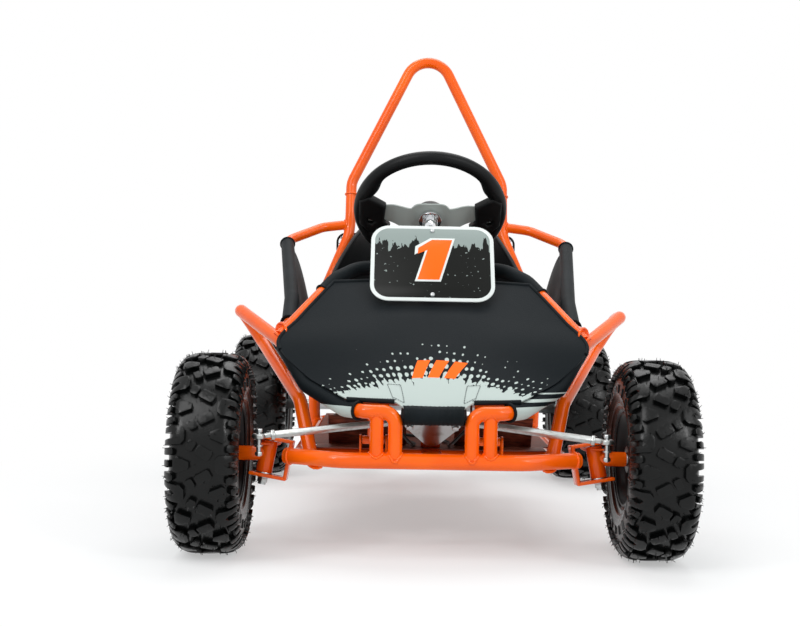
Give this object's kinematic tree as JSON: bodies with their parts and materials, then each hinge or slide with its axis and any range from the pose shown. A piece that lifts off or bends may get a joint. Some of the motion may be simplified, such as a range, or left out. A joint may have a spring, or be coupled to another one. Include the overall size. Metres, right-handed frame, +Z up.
{
  "type": "off_road_go_kart",
  "caption": "Small off-road go-kart: orange tube frame with a roll hoop, stretched black nose cover, race number plate, bucket seat, steered front wheels and a chain-driven rear axle",
  "frame": {"origin": "On the ground under the middle of the kart's width and length", "axes": "+X to the driver's left, -Y to the front of the kart, +Z up, with the wheels standing on z = 0"},
  "size_m": [0.934, 1.4217, 1.0274],
  "materials": {
    "orange_powder_coat": "glossy",
    "black_fabric": "matte",
    "printed_plastic": "glossy",
    "black_plastic": "satin",
    "black_paint": "satin",
    "black_wire": "satin",
    "engine_paint": "satin",
    "cast_aluminium": "satin",
    "zinc_steel": "satin",
    "chrome_steel": "glossy",
    "grip_foam": "matte",
    "tyre_rubber": "satin"
  },
  "bodies": {
    "frame": {"front_beam": "orange_powder_coat", "kingpin_left": "zinc_steel", "kingpin_right": "zinc_steel", "floor_rail_left": "orange_powder_coat", "floor_rail_right": "orange_powder_coat", "side_guard_left": "orange_powder_coat", "side_guard_right": "orange_powder_coat", "dash_hoop": "orange_powder_coat", "column_foot": "orange_powder_coat", "seat_crossbar": "orange_powder_coat", "engine_mount": "orange_powder_coat", "rear_bumper": "orange_powder_coat", "floor_pan": "orange_powder_coat", "roll_hoop": "orange_powder_coat", "hoop_leg_left": "orange_powder_coat", "hoop_leg_right": "orange_powder_coat", "arm_rail_left": "orange_powder_coat", "arm_rail_right": "orange_powder_coat", "arm_pad_left": "black_fabric", "arm_pad_right": "black_fabric", "nose_fairing": "black_fabric", "number_plate": "printed_plastic", "engine_guard": "black_wire", "seat_shell": "black_plastic", "seat_cushion": "black_fabric", "backrest_cushion": "black_fabric", "crankcase": "engine_paint", "cylinder": "engine_paint", "carburettor": "cast_aluminium", "air_filter": "black_plastic", "exhaust": "engine_paint", "fuel_tank": "black_plastic", "chain": "zinc_steel", "chain_guard": "black_plastic", "axle_carrier_left": "zinc_steel", "axle_carrier_right": "zinc_steel", "brake_caliper": "cast_aluminium", "throttle_cable": "black_plastic", "brake_cable": "black_plastic"},
    "steering": {"steering_wheel": "grip_foam", "hub_pad": "black_plastic", "steering_column": "chrome_steel"},
    "left_knuckle": {"knuckle_left": "orange_powder_coat"},
    "right_knuckle": {"knuckle_right": "orange_powder_coat"},
    "left_tie_rod": {"tie_rod_left": "zinc_steel"},
    "right_tie_rod": {"tie_rod_right": "zinc_steel"},
    "left_front_wheel": {"front_tyre_left": "tyre_rubber", "front_rim_left": "black_paint"},
    "right_front_wheel": {"front_tyre_right": "tyre_rubber", "front_rim_right": "black_paint"},
    "rear_axle": {"axle_shaft": "zinc_steel", "axle_sprocket": "zinc_steel", "brake_disc": "zinc_steel", "rear_rim_left": "black_paint", "rear_rim_right": "black_paint", "rear_tyre_left": "tyre_rubber", "rear_tyre_right": "tyre_rubber"},
    "output_sprocket": {"drive_sprocket": "zinc_steel"},
    "throttle": {"throttle_pedal": "orange_powder_coat"},
    "brake": {"brake_pedal": "orange_powder_coat"}
  },
  "joints": [
    {"name": "steering_turn", "type": "hinge", "parent": "frame", "child": "steering", "pos_m": [0, -0.5135, 0.2135], "axis": [0, 0.6756, 0.7373], "range_deg": [-30, 30]},
    {"name": "knuckle_left_turn", "type": "hinge", "parent": "frame", "child": "left_knuckle", "pos_m": [0.293, -0.5335, 0.168], "axis": [-0.1727, 0.103, 0.9796], "range_deg": [-20, 20]},
    {"name": "knuckle_right_turn", "type": "hinge", "parent": "frame", "child": "right_knuckle", "pos_m": [-0.293, -0.5335, 0.168], "axis": [0.1727, 0.103, 0.9796], "range_deg": [-20, 20]},
    {"name": "tie_rod_left_swing", "type": "hinge", "parent": "left_knuckle", "child": "left_tie_rod", "pos_m": [0.302, -0.5935, 0.214], "axis": [0.0424, 0.2294, 0.9724], "range_deg": [-22, 22]},
    {"name": "tie_rod_right_swing", "type": "hinge", "parent": "right_knuckle", "child": "right_tie_rod", "pos_m": [-0.302, -0.5935, 0.214], "axis": [-0.0424, 0.2294, 0.9724], "range_deg": [-22, 22]},
    {"name": "front_wheel_left_spin", "type": "hinge", "parent": "left_knuckle", "child": "left_front_wheel", "pos_m": [0.388, -0.5335, 0.1775], "axis": [1, 0, 0], "continuous": true},
    {"name": "front_wheel_right_spin", "type": "hinge", "parent": "right_knuckle", "child": "right_front_wheel", "pos_m": [-0.388, -0.5335, 0.1775], "axis": [1, 0, 0], "continuous": true},
    {"name": "rear_axle_spin", "type": "hinge", "parent": "frame", "child": "rear_axle", "pos_m": [0, 0.4765, 0.1775], "axis": [1, 0, 0], "continuous": true},
    {"name": "drive_sprocket_spin", "type": "hinge", "parent": "frame", "child": "output_sprocket", "pos_m": [0.095, 0.3915, 0.3], "axis": [1, 0, 0], "continuous": true},
    {"name": "throttle_pedal_press", "type": "hinge", "parent": "frame", "child": "throttle", "pos_m": [-0.105, -0.4885, 0.1995], "axis": [1, 0, 0], "range_deg": [0, 16], "stiffness_Nm_per_rad": 0.8, "springref_deg": -14.32},
    {"name": "brake_pedal_press", "type": "hinge", "parent": "frame", "child": "brake", "pos_m": [0.105, -0.4885, 0.1995], "axis": [1, 0, 0], "range_deg": [0, 16], "stiffness_Nm_per_rad": 1.2, "springref_deg": -14.32}
  ],
  "couplings": [
    {"joint": "knuckle_left_turn", "follows": "steering_turn", "ratio": 0.654},
    {"joint": "knuckle_right_turn", "follows": "steering_turn", "ratio": 0.654},
    {"joint": "tie_rod_left_swing", "follows": "steering_turn", "ratio": -0.712},
    {"joint": "tie_rod_right_swing", "follows": "steering_turn", "ratio": -0.712},
    {"joint": "drive_sprocket_spin", "follows": "rear_axle_spin", "ratio": 3.7}
  ]
}
